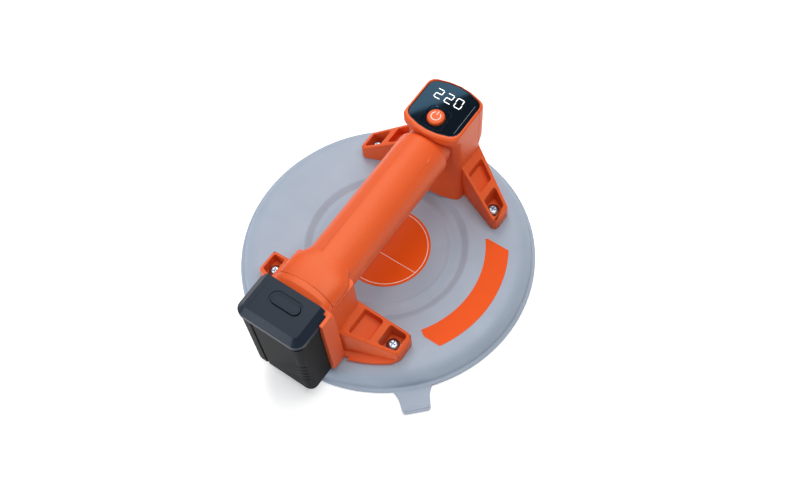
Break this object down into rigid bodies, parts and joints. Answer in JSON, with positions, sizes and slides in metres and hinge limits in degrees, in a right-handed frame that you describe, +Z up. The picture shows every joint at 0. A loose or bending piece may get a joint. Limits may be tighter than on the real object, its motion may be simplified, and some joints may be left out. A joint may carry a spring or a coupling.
{
  "type": "electric suction cup",
  "caption": "Electric suction lifter: a round rubber pad on footed legs, a hollow grip with a vacuum pump, a display head with a power button and a slide-off battery.",
  "frame": {"origin": "on the pad's axis, in the plane that the sealing lip touches", "axes": "+X runs along the grip towards the display head, +Z points up, away from the load, and +Y completes a right-handed frame"},
  "size_m": [0.2265, 0.2146, 0.0921],
  "materials": {
    "orange_abs": "satin moulded",
    "grey_rubber": "smooth matte moulded",
    "dark_rubber": "matte moulded",
    "black_plastic": "fine texture",
    "navy_plastic": "satin moulded",
    "glossy_panel": "polished",
    "circuit_board": "solder mask",
    "zinc_steel": "bright zinc plated",
    "aluminium": "turned",
    "copper_alloy": "stamped",
    "cell_wrap": "shrink film",
    "white_silicone": "translucent satin"
  },
  "bodies": {
    "base": {"suction_pad": "grey_rubber", "backing_plate": "aluminium", "support_face": "dark_rubber", "inlet_filter": "white_silicone", "filter_cap": "black_plastic", "front_leg": "orange_abs", "head_cover": "orange_abs", "rear_leg": "orange_abs", "handle_shell": "orange_abs", "grip_cover": "orange_abs", "cover_screw_1": "zinc_steel", "cover_screw_2": "zinc_steel", "cover_screw_3": "zinc_steel", "battery_dock": "orange_abs", "terminal_block": "black_plastic", "positive_contact": "copper_alloy", "negative_contact": "copper_alloy", "foot_washer_front_left": "zinc_steel", "foot_washer_front_right": "zinc_steel", "foot_washer_rear_left": "zinc_steel", "foot_washer_rear_right": "zinc_steel", "foot_screw_front_left": "zinc_steel", "foot_screw_front_right": "zinc_steel", "foot_screw_rear_left": "zinc_steel", "foot_screw_rear_right": "zinc_steel", "display_window": "glossy_panel", "display_module": "black_plastic", "power_switch": "black_plastic", "control_board": "circuit_board", "pressure_sensor": "black_plastic", "sensor_tube": "white_silicone", "vacuum_manifold": "black_plastic", "release_valve": "black_plastic", "pump_tube": "white_silicone", "pump_motor": "zinc_steel", "pump_crankcase": "black_plastic", "pump_diaphragm": "dark_rubber", "pump_head": "black_plastic", "motor_mount": "dark_rubber", "pump_mount": "dark_rubber"},
    "power_key": {"power_button": "orange_abs"},
    "battery": {"battery_case": "black_plastic", "battery_cap": "navy_plastic", "cell_left": "cell_wrap", "cell_right": "cell_wrap", "battery_board": "circuit_board"},
    "release_key": {"release_button": "navy_plastic"},
    "latch_bar": {"latch": "black_plastic"},
    "rotor": {"motor_shaft": "zinc_steel"},
    "plunger": {"valve_plunger": "zinc_steel"}
  },
  "joints": [
    {"name": "power_press", "type": "slide", "parent": "base", "child": "power_key", "axis": [0, 0, -1], "range_m": [0, 0.0008], "stiffness_N_per_m": 400, "springref_m": -0.001},
    {"name": "battery_slide", "type": "slide", "parent": "base", "child": "battery", "axis": [0, 0, 1], "range_m": [0, 0.072]},
    {"name": "release_press", "type": "slide", "parent": "battery", "child": "release_key", "axis": [0, 0, -1], "range_m": [0, 0.0016], "stiffness_N_per_m": 500, "springref_m": -0.001},
    {"name": "latch_draw", "type": "slide", "parent": "battery", "child": "latch_bar", "axis": [-1, 0, 0], "range_m": [0, 0.0016]},
    {"name": "motor_spin", "type": "hinge", "parent": "base", "child": "rotor", "pos_m": [0, 0, 0.069], "axis": [1, 0, 0], "continuous": true},
    {"name": "valve_lift", "type": "slide", "parent": "base", "child": "plunger", "axis": [0, 0, 1], "range_m": [0, 0.0012], "stiffness_N_per_m": 300, "springref_m": -0.001}
  ],
  "couplings": [
    {"joint": "latch_draw", "follows": "release_press", "ratio": 1}
  ]
}
